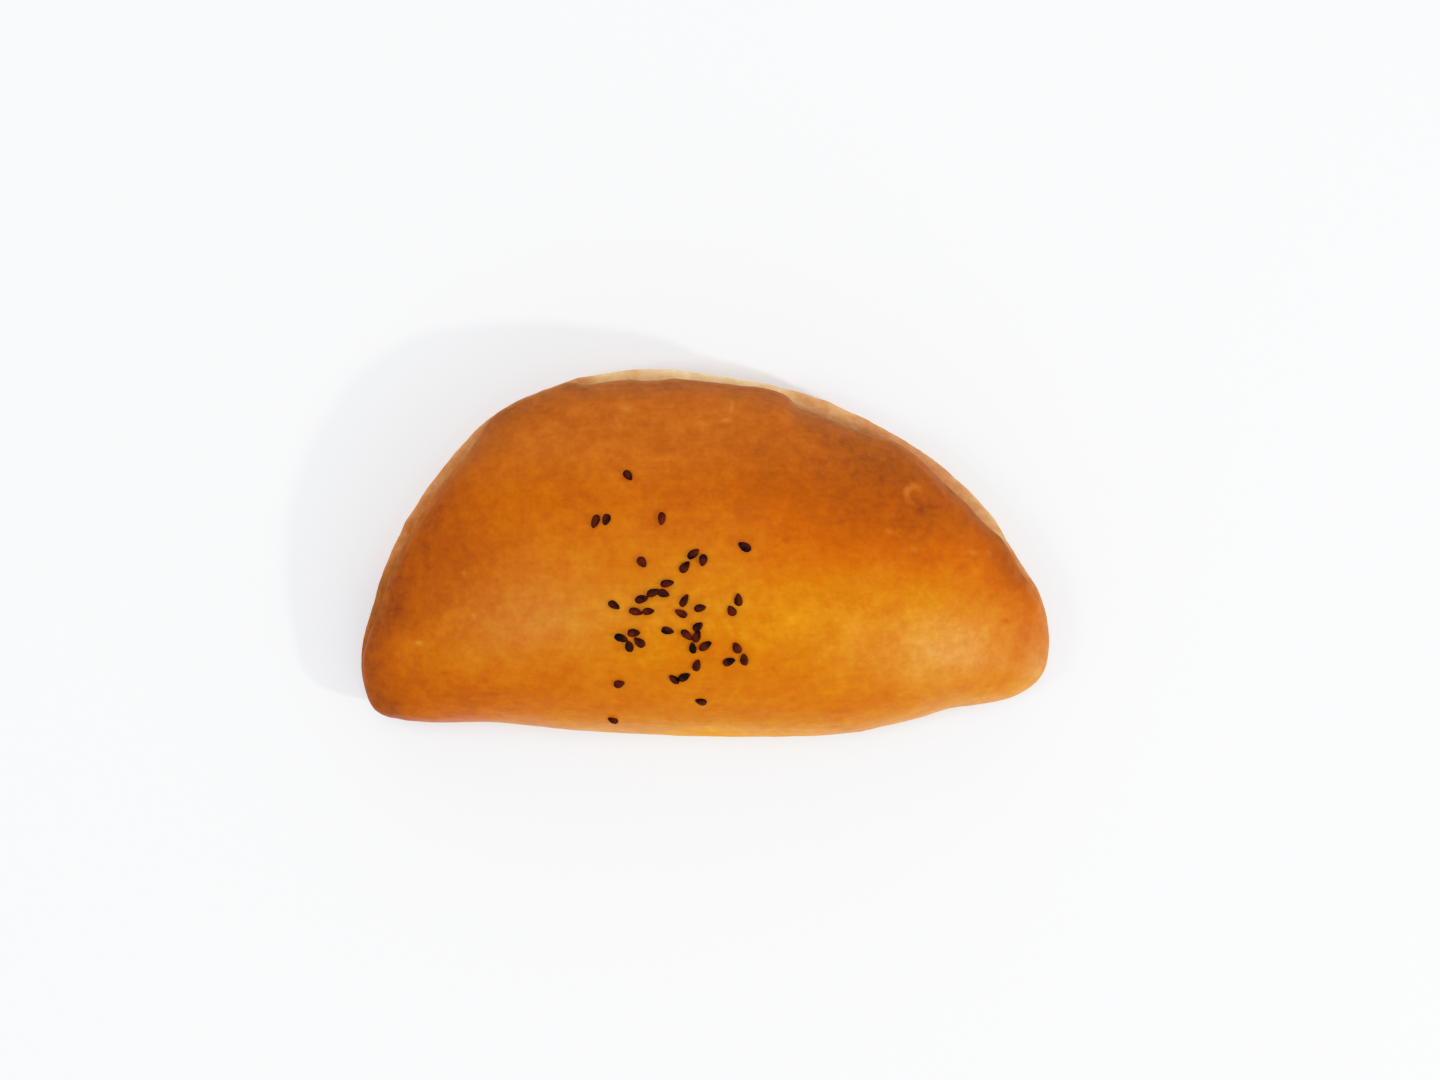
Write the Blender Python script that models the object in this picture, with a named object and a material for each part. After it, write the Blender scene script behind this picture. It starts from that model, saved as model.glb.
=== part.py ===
"""Half-moon cheese pastry: one round of soft dough folded over its filling and baked, with nigella seeds.

It lies flat on Z = 0, in metres. X runs along the fold, which faces -Y. The two edges of the dough meet
in a seam round the curved side, +Y, where the lower edge stands out as a pale lip under the flap.
The origin is under the middle of the pastry's box.
"""

import math
import random

import bmesh
import bpy
import numpy as np
from mathutils import Matrix, Vector
from mathutils.bvhtree import BVHTree
from mathutils.noise import noise

MM = 0.001

# Driving sizes.
LENGTH = 140 * MM
WIDTH = 74.8 * MM
HEIGHT = 35 * MM

# Mesh resolution: columns run round the outline, rows run up a cross-section.
COLUMNS = 128
HEEL_ROWS = 5
LIP_ROWS = 4
NOSE_ROWS = 4
DOME_ROWS = 14

# The outline seen from above, counter-clockwise from the right tip, as shares of half its length and width.
OUTLINE = (
    (1.000, -0.500),
    (0.975, -0.240),
    (0.907, -0.030),
    (0.827, 0.210),
    (0.714, 0.425),
    (0.568, 0.619),
    (0.385, 0.795),
    (0.240, 0.886),
    (0.090, 0.942),
    (-0.140, 0.995),
    (-0.338, 0.957),
    (-0.450, 0.893),
    (-0.596, 0.770),
    (-0.741, 0.510),
    (-0.886, 0.112),
    (-0.967, -0.290),
    (-1.000, -0.600),
    (-0.964, -0.848),
    (-0.885, -0.908),
    (-0.600, -0.925),
    (-0.350, -0.968),
    (0.000, -0.998),
    (0.390, -0.985),
    (0.560, -0.927),
    (0.720, -0.846),
    (0.893, -0.785),
    (0.976, -0.676),
)
CURVE_STEPS = 24

# The crest, which runs from tip to tip nearer the fold than the seam.
CREST_REACH = 46 * MM  # its ends, from the middle
CREST_Y = -8.5 * MM
CREST_END_Y = -16.5 * MM
CREST_FALL = 0.28  # share of the height lost at its ends
CREST_FALL_POWER = 2.1
CREST_SPREAD = 0.4  # how evenly the cross-sections meet the crest: at 0 they crowd at its ends
LEAST_SQUARE = 0.4  # a slanting cross-section's distances inward are stretched by 1 / 0.4 at most

# The side wall, up to its widest level.
SIDE_LEVEL = 9.5 * MM
HEEL_INSET = 7 * MM  # from the outline in to the flat base

# The seam on the curved side.
LIP_WIDTH = 1.5 * MM
LIP_STRETCHES = (  # along X where each begins, is whole, starts to fade and ends, and how much wider it is
    (-71 * MM, -70 * MM, -50 * MM, -44 * MM, 0.8 * MM),
    (-47 * MM, -42 * MM, -28 * MM, -25 * MM, -0.9 * MM),
    (-27 * MM, -23 * MM, -10 * MM, 8 * MM, 0.7 * MM),
    (-16 * MM, -12 * MM, -10 * MM, -6 * MM, 0.5 * MM),
    (7 * MM, 11 * MM, 14 * MM, 17 * MM, -0.3 * MM),
    (16 * MM, 20 * MM, 28 * MM, 40 * MM, 2.0 * MM),
    (41 * MM, 50 * MM, 57 * MM, 61 * MM, 1.1 * MM),
    (59 * MM, 61 * MM, 63 * MM, 65 * MM, -0.4 * MM),
)
SEAM_LEVEL = 11.6 * MM
SEAM_WANDER = 1.3 * MM  # how far it strays up and down
SEAM_WANDER_SIZE = 17 * MM
CREASE_DEPTH = 1.8 * MM
CREASE_FADE = (0.32, 0.72)  # sine of the outline angle over which the crease deepens
CREASE_GAP = 0.5 * MM
NOSE_HEIGHT = 3.4 * MM  # the flap's rounded edge
SEAM_FADE = (-0.10, 0.48)  # sine of the outline angle where it begins and where it is whole
PLAIN_TURN = math.radians(15)  # the dome's first turn on the fold side, level with the seam

# How full the cross-section is: 2 is an ellipse, more is squarer.
DOME_FULLNESS = 2.15
EDGE_FADE = 7  # the power by which the waves of the flap's edge even out up the dome

# Broad swells and dips of the top: x, y, reach along x, reach along y, height.
SWELLS = (
    (47 * MM, -17 * MM, 15 * MM, 11 * MM, 1.6 * MM),
    (-47 * MM, -16 * MM, 15 * MM, 11 * MM, 0.9 * MM),
    (28 * MM, 20 * MM, 14 * MM, 9 * MM, -0.9 * MM),
    (-4 * MM, -20 * MM, 22 * MM, 9 * MM, 0.9 * MM),
)
UNEVEN_SIZE = 26 * MM
UNEVEN_HEIGHT = 0.55 * MM
TOP_FADE = 0.45  # share of the dome's turn over which these swells come in

# Nigella seeds, in pinches: x, y, how far they scatter, how many.
SEED_LENGTH = 2.5 * MM
SEED_WIDTH = 1.75 * MM
SEED_HEIGHT = 1.3 * MM
SEED_SUNK = 0.3  # share of the height in the crust
SEED_SIDES = 6
SEED_BELTS = 4
SEED_SPACING = 1.9 * MM
SEED_DRAW = 7
PINCHES = (
    (-15 * MM, 15 * MM, 0.8 * MM, 1),
    (-9 * MM, 6.5 * MM, 0.8 * MM, 1),
    (-21 * MM, 6 * MM, 2.4 * MM, 2),
    (8.5 * MM, 1 * MM, 0.8 * MM, 1),
    (-2.5 * MM, -2 * MM, 2.4 * MM, 3),
    (-12.5 * MM, -2 * MM, 0.8 * MM, 1),
    (-8.5 * MM, -7 * MM, 2.4 * MM, 3),
    (6 * MM, -10 * MM, 1.6 * MM, 2),
    (-12 * MM, -10.5 * MM, 2.4 * MM, 3),
    (-2.5 * MM, -11 * MM, 2.4 * MM, 3),
    (-18 * MM, -10.5 * MM, 0.8 * MM, 1),
    (-1.5 * MM, -16.5 * MM, 3 * MM, 5),
    (-15 * MM, -16.5 * MM, 2.4 * MM, 4),
    (-7 * MM, -15.5 * MM, 0.8 * MM, 1),
    (6 * MM, -19.5 * MM, 2.4 * MM, 3),
    (-4 * MM, -21.5 * MM, 4 * MM, 3),
    (-17.5 * MM, -25.5 * MM, 0.8 * MM, 1),
    (-1 * MM, -29.5 * MM, 0.8 * MM, 1),
    (-18.5 * MM, -33 * MM, 0.8 * MM, 1),
)

CRUST_COLOUR = (0.60, 0.20, 0.035, 1.0)
CRUST_ROUGHNESS = 0.42
SHARP_ANGLE = math.radians(40)


def smooth_step(low, high, value):
    share = np.clip((value - low) / (high - low), 0, 1)
    return share * share * (3 - 2 * share)


def drift(x, y, size):
    """Smooth noise, from -1 to 1, that changes over a distance of about this size."""
    return np.array([noise(Vector((a, b, 0)) / size) for a, b in zip(x, y)])


def closed_curve(corners, steps):
    """A smooth closed line through the corners: Catmull-Rom, centripetal, so that it doesn't overshoot."""
    corners = np.array(corners, float) * (LENGTH / 2, WIDTH / 2)
    line = []
    for i in range(len(corners)):
        p0, p1, p2, p3 = (corners[(i + k) % len(corners)] for k in (-1, 0, 1, 2))
        t1 = math.sqrt(math.dist(p0, p1))
        t2 = t1 + math.sqrt(math.dist(p1, p2))
        t3 = t2 + math.sqrt(math.dist(p2, p3))
        for t in np.linspace(t1, t2, steps, endpoint=False):
            a = p0 + (p1 - p0) * t / t1
            b = p1 + (p2 - p1) * (t - t1) / (t2 - t1)
            c = p2 + (p3 - p2) * (t - t2) / (t3 - t2)
            ab = a + (b - a) * t / t2
            bc = b + (c - b) * (t - t1) / (t3 - t1)
            line.append(ab + (bc - ab) * (t - t1) / (t2 - t1))
    line = np.array(line)
    low, high = line.min(axis=0), line.max(axis=0)
    return (line - (low + high) / 2) / (high - low) * (LENGTH, WIDTH)


def outline_points(angle):
    """The outline at each column, counter-clockwise from the right tip.

    A column on the seam side has the X of its partner on the fold side.
    """
    line = closed_curve(OUTLINE, CURVE_STEPS)
    line = np.roll(line, -int(line[:, 0].argmax()), axis=0)
    left = int(line[:, 0].argmin())
    seam_side, fold_side = line[left::-1], np.vstack([line[left:], line[:1]])
    x = LENGTH / 2 * np.cos(angle)
    y = np.where(
        np.sin(angle) >= 0,
        np.interp(x, seam_side[:, 0], seam_side[:, 1]),
        np.interp(x, fold_side[:, 0], fold_side[:, 1]),
    )
    return np.stack([x, y], axis=1)


def crest_line(along, tip_y):
    """The crest's points from end to end, their levels, and how steeply each climbs, along X and Y.

    Seen from above it leaves the middle along X and ends heading for the outline's tip.
    """
    out = np.abs(along)
    aim = (tip_y - CREST_END_Y) / (LENGTH / 2 - CREST_REACH) * CREST_REACH
    bend = CREST_END_Y - CREST_Y
    y = CREST_Y + bend * (3 * out**2 - 2 * out**3) + aim * (out**3 - out**2)
    turn = bend * (6 * out - 6 * out**2) + aim * (3 * out**2 - 2 * out)
    level = HEIGHT * (1 - CREST_FALL * out**CREST_FALL_POWER)
    climb = -HEIGHT * CREST_FALL * CREST_FALL_POWER * out ** (CREST_FALL_POWER - 1)
    run = np.stack([CREST_REACH * np.sign(along), turn], axis=1)
    points = np.stack([CREST_REACH * along, y], axis=1)
    return points, level, run * (climb / np.maximum((run**2).sum(axis=1), MM**2))[:, None]


def lip_width(x):
    """How far the lower edge of the dough stands out beyond the flap."""
    width = np.full_like(x, LIP_WIDTH)
    for begins, whole, fades, ends, more in LIP_STRETCHES:
        width += more * smooth_step(begins, whole, x) * (1 - smooth_step(fades, ends, x))
    return width


class Columns:
    """The cross-sections, one at each point of the outline, each running from there to the crest."""

    def __init__(self, count):
        angle = 2 * math.pi * np.arange(count) / count
        self.edge = outline_points(angle)
        even = 1 - 2 * np.minimum(angle, 2 * math.pi - angle) / math.pi
        along = (1 - CREST_SPREAD) * np.cos(angle) + CREST_SPREAD * even
        tip_y = np.where(along > 0, self.edge[0, 1], self.edge[count // 2, 1])
        crest, self.crest_level, crest_slope = crest_line(along, tip_y)
        tangent = np.roll(self.edge, -1, axis=0) - np.roll(self.edge, 1, axis=0)
        inward = np.stack([-tangent[:, 1], tangent[:, 0]], axis=1)
        inward /= np.linalg.norm(inward, axis=1)[:, None]
        self.across = crest - self.edge
        least_depth = LEAST_SQUARE * np.linalg.norm(self.across, axis=1)
        self.depth = np.maximum((self.across * inward).sum(axis=1), least_depth)
        self.rise = (crest_slope * self.across).sum(axis=1)

        self.seam = smooth_step(*SEAM_FADE, np.sin(angle))
        self.lip = lip_width(self.edge[:, 0])
        self.crease = CREASE_DEPTH * smooth_step(*CREASE_FADE, np.sin(angle))
        self.seam_level = SEAM_LEVEL + SEAM_WANDER * drift(*self.edge.T, SEAM_WANDER_SIZE)
        self.flap_level = self.seam_level + CREASE_GAP + NOSE_HEIGHT

    def row(self, inset, level):
        """A ring of points, one to a column, a distance in from the outline and at a level."""
        place = self.edge + self.across * (inset / self.depth)[:, None]
        return np.column_stack([place, np.broadcast_to(level, len(place))])

    def dome(self, turn, inset, level):
        """Inset and level on a dome that starts, at turn 0, upright at these, and is level across the crest."""
        share = 1 - math.cos(turn) ** (2 / DOME_FULLNESS)
        climb = self.crest_level - level - self.rise
        place = inset * (1 - share) ** EDGE_FADE + self.depth * share
        return place, level + climb * math.sin(turn) + self.rise * share

    def mixed_row(self, plain, seamed):
        """Between the plain profile of the fold side and the seamed one, by how whole the seam is."""
        inset, level = (a + (b - a) * self.seam for a, b in zip(plain, seamed))
        return self.row(inset, level)


def base_rows(columns):
    return [columns.row(columns.depth, 0), columns.row((columns.depth + HEEL_INSET) / 2, 0)]


def heel_rows(columns):
    """From the flat base out to the widest level."""
    turns = np.linspace(0, math.pi / 2, HEEL_ROWS)
    return [columns.row(HEEL_INSET * (1 - math.sin(t)), SIDE_LEVEL * (1 - math.cos(t))) for t in turns]


def seam_profile(columns):
    """Inset and level over the lip, into the crease and out round the flap's edge."""
    for turn in np.linspace(0, math.pi / 2, LIP_ROWS + 1)[1:]:
        level = SIDE_LEVEL + (columns.seam_level - SIDE_LEVEL) * math.sin(turn)
        yield (columns.lip + columns.crease) * (1 - math.cos(turn)), level
    for turn in np.linspace(0, math.pi / 2, NOSE_ROWS):
        level = columns.seam_level + CREASE_GAP + NOSE_HEIGHT * (1 - math.cos(turn))
        yield columns.lip + columns.crease * (1 - math.sin(turn)), level


def seam_rows(columns):
    """The seam, which fades at the tips into the plain rise of the fold side."""
    count = LIP_ROWS + NOSE_ROWS
    for i, seamed in enumerate(seam_profile(columns), start=1):
        yield columns.mixed_row(columns.dome(PLAIN_TURN * i / count, 0, SIDE_LEVEL), seamed)


def dome_rows(columns):
    """From the flap's edge over the top to the crest."""
    for share in np.linspace(0, 1, DOME_ROWS + 1)[1:]:
        plain = columns.dome(PLAIN_TURN + (math.pi / 2 - PLAIN_TURN) * share, 0, SIDE_LEVEL)
        top = columns.mixed_row(plain, columns.dome(math.pi / 2 * share, columns.lip, columns.flap_level))
        top[:, 2] += uneven_top(top[:, 0], top[:, 1]) * smooth_step(0, TOP_FADE, share)
        yield top


def uneven_top(x, y):
    """What the hand shaping and the rise leave on the top."""
    height = UNEVEN_HEIGHT * drift(x, y, UNEVEN_SIZE)
    for middle_x, middle_y, reach_x, reach_y, swell in SWELLS:
        height += swell * np.exp(-(((x - middle_x) / reach_x) ** 2) - ((y - middle_y) / reach_y) ** 2)
    return height


def dough_mesh():
    """The rows as one closed mesh; the first and last rows close on the line of the crest."""
    columns = Columns(COLUMNS)
    rows = [*base_rows(columns), *heel_rows(columns), *seam_rows(columns), *dome_rows(columns)]
    shape = bmesh.new()
    rings = [[shape.verts.new(point) for point in row] for row in rows]
    for lower, upper in zip(rings, rings[1:]):
        for i in range(COLUMNS):
            k = (i + 1) % COLUMNS
            shape.faces.new((lower[i], lower[k], upper[k], upper[i]))
    bmesh.ops.remove_doubles(shape, verts=rings[0] + rings[-1], dist=MM / 1000)
    bmesh.ops.recalc_face_normals(shape, faces=shape.faces)
    return shape


def seed_places():
    """Where the seeds lie, as x, y and a heading: each pinch scatters its own, and none lies in another."""
    draw = random.Random(SEED_DRAW)
    places = []
    for x, y, scatter, count in PINCHES:
        landed = 0
        while landed < count:
            way, far = draw.uniform(0, 2 * math.pi), scatter * math.sqrt(draw.random())
            spot = (x + far * math.cos(way), y + far * math.sin(way))
            heading = draw.uniform(0, math.pi)
            if all(math.dist(spot, other[:2]) > SEED_SPACING for other in places):
                places.append((*spot, heading))
                landed += 1
    return places


def seed_object(name, place, surface, collection):
    """A drop-shaped seed lying on the crust, partly sunk in it."""
    x, y, heading = place
    touch, normal, _, _ = surface.ray_cast(Vector((x, y, HEIGHT * 2)), Vector((0, 0, -1)))
    mesh = bpy.data.meshes.new(name)
    shape = bmesh.new()
    bmesh.ops.create_uvsphere(shape, u_segments=SEED_SIDES, v_segments=SEED_BELTS, radius=0.5)
    for vert in shape.verts:
        point = vert.co.copy()
        slim = 1 - 0.5 * (point.z + 0.5) ** 2
        vert.co = (point.z * SEED_LENGTH, point.y * SEED_WIDTH * slim, point.x * SEED_HEIGHT * slim)
    bmesh.ops.recalc_face_normals(shape, faces=shape.faces)
    shape.to_mesh(mesh)
    shape.free()
    obj = bpy.data.objects.new(name, mesh)
    lift = normal * SEED_HEIGHT * (0.5 - SEED_SUNK)
    upright = normal.to_track_quat("Z", "Y").to_matrix().to_4x4()
    obj.matrix_world = Matrix.Translation(touch + lift) @ upright @ Matrix.Rotation(heading, 4, "Z")
    collection.objects.link(obj)
    return obj


def crust_material():
    material = bpy.data.materials.new("baked_crust")
    material.use_nodes = True
    shader = material.node_tree.nodes["Principled BSDF"]
    shader.inputs["Base Color"].default_value = CRUST_COLOUR
    shader.inputs["Roughness"].default_value = CRUST_ROUGHNESS
    shader.inputs["Metallic"].default_value = 0.0
    return material


def fuse(body, collection):
    """Joins a collection's objects to the body and removes them."""
    union = body.modifiers.new("seeds", "BOOLEAN")
    union.operation = "UNION"
    union.operand_type = "COLLECTION"
    union.collection = collection
    union.solver = "EXACT"
    bpy.context.view_layer.objects.active = body
    bpy.ops.object.modifier_apply(modifier=union.name)
    for obj in list(collection.objects):
        bpy.data.objects.remove(obj)
    bpy.data.collections.remove(collection)


def stand_on_origin(mesh):
    """Moves the middle of the mesh's base to the origin."""
    points = np.array([vert.co for vert in mesh.vertices])
    low, high = points.min(axis=0), points.max(axis=0)
    mesh.transform(Matrix.Translation((-(low[0] + high[0]) / 2, -(low[1] + high[1]) / 2, -low[2])))


def main():
    for obj in list(bpy.data.objects):
        bpy.data.objects.remove(obj)
    shape = dough_mesh()
    surface = BVHTree.FromBMesh(shape)
    mesh = bpy.data.meshes.new("pastry")
    shape.to_mesh(mesh)
    shape.free()
    pastry = bpy.data.objects.new("pastry", mesh)
    pastry.data.materials.append(crust_material())
    bpy.context.scene.collection.objects.link(pastry)

    seeds = bpy.data.collections.new("seeds")
    bpy.context.scene.collection.children.link(seeds)
    for i, place in enumerate(seed_places()):
        seed_object(f"seed_{i}", place, surface, seeds)
    bpy.context.view_layer.update()
    fuse(pastry, seeds)
    stand_on_origin(pastry.data)
    pastry.data.shade_smooth()
    pastry.data.set_sharp_from_angle(angle=SHARP_ANGLE)


main()
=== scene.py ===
"""Half-moon cheese pastry: a folded, egg-washed, baked round of dough with nigella seeds stuck to its top.

The dough has the solid's own form, worked out by the same rules on a finer mesh, with the crust's relief.
X runs along the fold, which faces -Y, and the seam runs round the curved side, +Y. Metres throughout.
"""

import math
import random

import bpy
import numpy as np
from mathutils import Matrix, Vector
from mathutils.bvhtree import BVHTree
from mathutils.noise import fractal, noise


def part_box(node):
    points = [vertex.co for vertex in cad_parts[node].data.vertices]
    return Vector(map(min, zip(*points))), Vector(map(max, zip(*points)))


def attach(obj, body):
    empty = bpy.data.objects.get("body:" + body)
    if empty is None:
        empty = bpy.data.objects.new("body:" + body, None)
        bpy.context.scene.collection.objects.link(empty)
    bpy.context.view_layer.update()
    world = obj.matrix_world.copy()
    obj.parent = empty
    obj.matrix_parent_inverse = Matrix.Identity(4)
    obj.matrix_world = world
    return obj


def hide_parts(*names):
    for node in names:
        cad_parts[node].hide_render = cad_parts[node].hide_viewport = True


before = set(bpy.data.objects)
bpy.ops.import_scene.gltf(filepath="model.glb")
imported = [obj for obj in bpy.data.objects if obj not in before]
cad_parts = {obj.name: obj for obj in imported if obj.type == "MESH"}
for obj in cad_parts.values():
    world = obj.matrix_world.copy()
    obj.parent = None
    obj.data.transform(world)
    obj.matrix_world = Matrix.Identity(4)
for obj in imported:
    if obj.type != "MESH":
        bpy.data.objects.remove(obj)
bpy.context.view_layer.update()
low, high = (np.array(corner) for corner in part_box("pastry"))

MM = 0.001

# ---- The dough's form, by the solid's rules ----
LENGTH, WIDTH = (high - low)[:2]
HEIGHT = 35 * MM  # of the crest's highest point, before the swells

COLUMNS = 540  # all round; the rows run from the line under the crest, round the side and up to it
BASE_ROWS = 14
HEEL_ROWS = 16
LIP_ROWS = 14
NOSE_ROWS = 16
DOME_ROWS = 108

OUTLINE = (  # corners, counter-clockwise from the right, as shares of half the length and half the width
    (1.000, -0.500),
    (0.975, -0.240),
    (0.907, -0.030),
    (0.827, 0.210),
    (0.714, 0.425),
    (0.568, 0.619),
    (0.385, 0.795),
    (0.240, 0.886),
    (0.090, 0.942),
    (-0.140, 0.995),
    (-0.338, 0.957),
    (-0.450, 0.893),
    (-0.596, 0.770),
    (-0.741, 0.510),
    (-0.886, 0.112),
    (-0.967, -0.290),
    (-1.000, -0.600),
    (-0.964, -0.848),
    (-0.885, -0.908),
    (-0.600, -0.925),
    (-0.350, -0.968),
    (0.000, -0.998),
    (0.390, -0.985),
    (0.560, -0.927),
    (0.720, -0.846),
    (0.893, -0.785),
    (0.976, -0.676),
)
CURVE_STEPS = 24  # from one corner to the next

CREST_REACH = 46 * MM  # how far the crest runs on each side of the middle
CREST_Y = -8.5 * MM  # where it lies in the middle, and at its ends
CREST_END_Y = -16.5 * MM
CREST_FALL = 0.28  # how much lower its ends are, as a share of the height
CREST_FALL_POWER = 2.1
CREST_SPREAD = 0.4  # how evenly the columns meet it, from 0, bunched at its ends, to 1
LEAST_SQUARE = 0.4  # a column's depth, square to the outline, is at least this share of its length

SIDE_LEVEL = 9.5 * MM  # where the dough is widest
HEEL_INSET = 7 * MM  # how far in from there the flat base begins

LIP_WIDTH = 1.5 * MM
LIP_STRETCHES = (  # along X where each begins, is whole, starts to fade and ends, and how much wider it is
    (-71 * MM, -70 * MM, -50 * MM, -44 * MM, 0.8 * MM),
    (-47 * MM, -42 * MM, -28 * MM, -25 * MM, -0.9 * MM),
    (-27 * MM, -23 * MM, -10 * MM, 8 * MM, 0.7 * MM),
    (-16 * MM, -12 * MM, -10 * MM, -6 * MM, 0.5 * MM),
    (7 * MM, 11 * MM, 14 * MM, 17 * MM, -0.3 * MM),
    (16 * MM, 20 * MM, 28 * MM, 40 * MM, 2.0 * MM),
    (41 * MM, 50 * MM, 57 * MM, 61 * MM, 1.1 * MM),
    (59 * MM, 61 * MM, 63 * MM, 65 * MM, -0.4 * MM),
)
SEAM_LEVEL = 11.6 * MM
SEAM_WANDER = 1.3 * MM  # how far the seam strays up and down, and over what distance
SEAM_WANDER_SIZE = 17 * MM
SEAM_FADE = (-0.10, 0.48)  # from no seam to a whole one, by the sine of a column's turn
CREASE_DEPTH = 1.8 * MM
CREASE_FADE = (0.32, 0.72)  # from no crease to a whole one, in the same way
CREASE_GAP = 0.5 * MM
NOSE_HEIGHT = 3.4 * MM  # of the flap's rounded edge, from the crease to where it stands upright
PLAIN_TURN = math.radians(15)  # the part of the fold side's rise that the seam's rows take up

DOME_FULLNESS = 2.15  # 2 is an ellipse, more is fuller
EDGE_FADE = 7  # how soon the flap's inset is lost in the dome
SWELLS = (  # middle, reach along X and along Y, and height
    (47 * MM, -17 * MM, 15 * MM, 11 * MM, 1.6 * MM),
    (-47 * MM, -16 * MM, 15 * MM, 11 * MM, 0.9 * MM),
    (28 * MM, 20 * MM, 14 * MM, 9 * MM, -0.9 * MM),
    (-4 * MM, -20 * MM, 22 * MM, 9 * MM, 0.9 * MM),
)
UNEVEN_SIZE = 26 * MM
UNEVEN_HEIGHT = 0.55 * MM
TOP_FADE = 0.45  # the part of the way up over which the swells set in

NOISE_FALL = 0.9  # how quickly the finer noise grows weaker, and how much finer each layer is
NOISE_STEP = 2.0
NOISE_SHIFT = (7.3, 3.1, 1.7)  # from one noise to the next

# ---- The crust's relief ----
SKIN_SIZE = 8 * MM
SKIN_HEIGHT = 0.12 * MM
PORES_SIZE = 2.4 * MM
PORES_HEIGHT = 0.05 * MM
RAGGED_SIZE = 3.2 * MM
RAGGED_HEIGHT = 0.14 * MM
STROKES_SIZE = 1.1 * MM
STROKES_STRETCH = 9  # how many times longer than wide the egg wash's brush strokes are
STROKES_HEIGHT = 0.02 * MM
BLISTER = (41.6 * MM, 11.6 * MM)
BLISTER_RADIUS = 1.6 * MM
BLISTER_RIM = 0.65 * MM
BLISTER_HEIGHT = 0.20 * MM
BLISTER_SIDE = math.radians(140)  # where its rim is whole; it is open on the other side
MARKS = (  # middle, reach along X and along Y, and height: flakes stand up and are paler, pits are browner
    (-48 * MM, -4 * MM, 0.5 * MM, 0.6 * MM, 0.10 * MM),
    (-46 * MM, -12.4 * MM, 0.5 * MM, 0.5 * MM, 0.09 * MM),
    (-57.5 * MM, -18 * MM, 1.1 * MM, 0.5 * MM, 0.10 * MM),
    (-15.7 * MM, 28.7 * MM, 0.9 * MM, 0.5 * MM, 0.10 * MM),
    (4.3 * MM, 26.3 * MM, 1.2 * MM, 0.4 * MM, 0.11 * MM),
    (5.2 * MM, 29.5 * MM, 0.5 * MM, 1.3 * MM, 0.11 * MM),
    (36.3 * MM, 4.3 * MM, 0.6 * MM, 0.5 * MM, 0.11 * MM),
    (41.4 * MM, 0.8 * MM, 0.8 * MM, 0.5 * MM, 0.10 * MM),
    (53.4 * MM, 0, 0.8 * MM, 0.45 * MM, 0.10 * MM),
    (56.9 * MM, -0.2 * MM, 0.7 * MM, 0.6 * MM, 0.10 * MM),
    (16.1 * MM, 2.6 * MM, 0.9 * MM, 0.35 * MM, -0.11 * MM),
    (45.3 * MM, 9.2 * MM, 1.2 * MM, 0.5 * MM, -0.06 * MM),
    (60.5 * MM, -13.5 * MM, 1.0 * MM, 0.5 * MM, -0.10 * MM),
    (-52 * MM, -24 * MM, 1.2 * MM, 0.5 * MM, -0.10 * MM),
)
MARK_TINT = 1.3 / MM  # how much less baked a mark is for its height, and how much less washed
MARK_DRY = 2.2 / MM

# ---- How brown it is, from 0, pale dough, to 1, deep brown: its baking, with painted shade at the left end and the lip's tips ----
RIDGE_Y = -12 * MM  # where the palest stretch of the top runs, in the middle and at its ends
RIDGE_END_Y = -18 * MM
RIDGE_LENGTH = 0.35  # of the length, on each side of the middle
RIDGE_BAKE = 0.36
BACK_BAKE = 0.32  # how much browner the back of the top is than the ridge, and how far off
BACK_REACH = 16 * MM
FRONT_BAKE = 0.22
FRONT_REACH = 12 * MM
FRONT_RIM = 0.22  # how much paler the front is at the outline
FRONT_RIM_REACH = 4 * MM
FRONT_RIM_FROM = (-0.8, -0.5)  # where it begins and is whole, as shares of half the length
FLAP_RIM = 0.14  # how much browner the flap is at its edge
FLAP_RIM_REACH = 4 * MM
FLAP_RIM_FROM = (-0.9, -0.65)
PATCHES = (  # middle, reach, and how much browner
    (-66 * MM, -8 * MM, 20 * MM, 18 * MM, 0.28),
    (-44 * MM, -30 * MM, 18 * MM, 7 * MM, 0.13),
    (-28 * MM, 14 * MM, 14 * MM, 14 * MM, -0.09),
    (1 * MM, -38 * MM, 28 * MM, 5 * MM, -0.20),
    (36 * MM, 16 * MM, 20 * MM, 14 * MM, 0.18),
    (50 * MM, -20 * MM, 14 * MM, 8 * MM, -0.03),
    (63 * MM, -5 * MM, 11 * MM, 11 * MM, 0.12),
    (70 * MM, -18 * MM, 8 * MM, 12 * MM, 0.32),
    (-46 * MM, -13 * MM, 14 * MM, 9 * MM, 0.08),
    (-28 * MM, -16 * MM, 12 * MM, 8 * MM, 0.08),
    (-8 * MM, -28 * MM, 14 * MM, 5 * MM, -0.05),
)
END_RIM_SHADE = 0.10  # how much darker the left end is at the very outline, and further in: painted shade of the end, which faces away from the key lamp, over its browner baking
END_RIM_SHADE_REACH = 2.8 * MM
END_BAKE_AND_SHADE = 0.27
END_REACH = 9 * MM
END_FROM = (-0.74, -0.95)  # where it begins and is whole, as shares of half the length
END_FRONT = (-38 * MM, -30 * MM)
END_BACK = (2 * MM, -13 * MM)
DEEPEST_BAKE = 0.84
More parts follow.
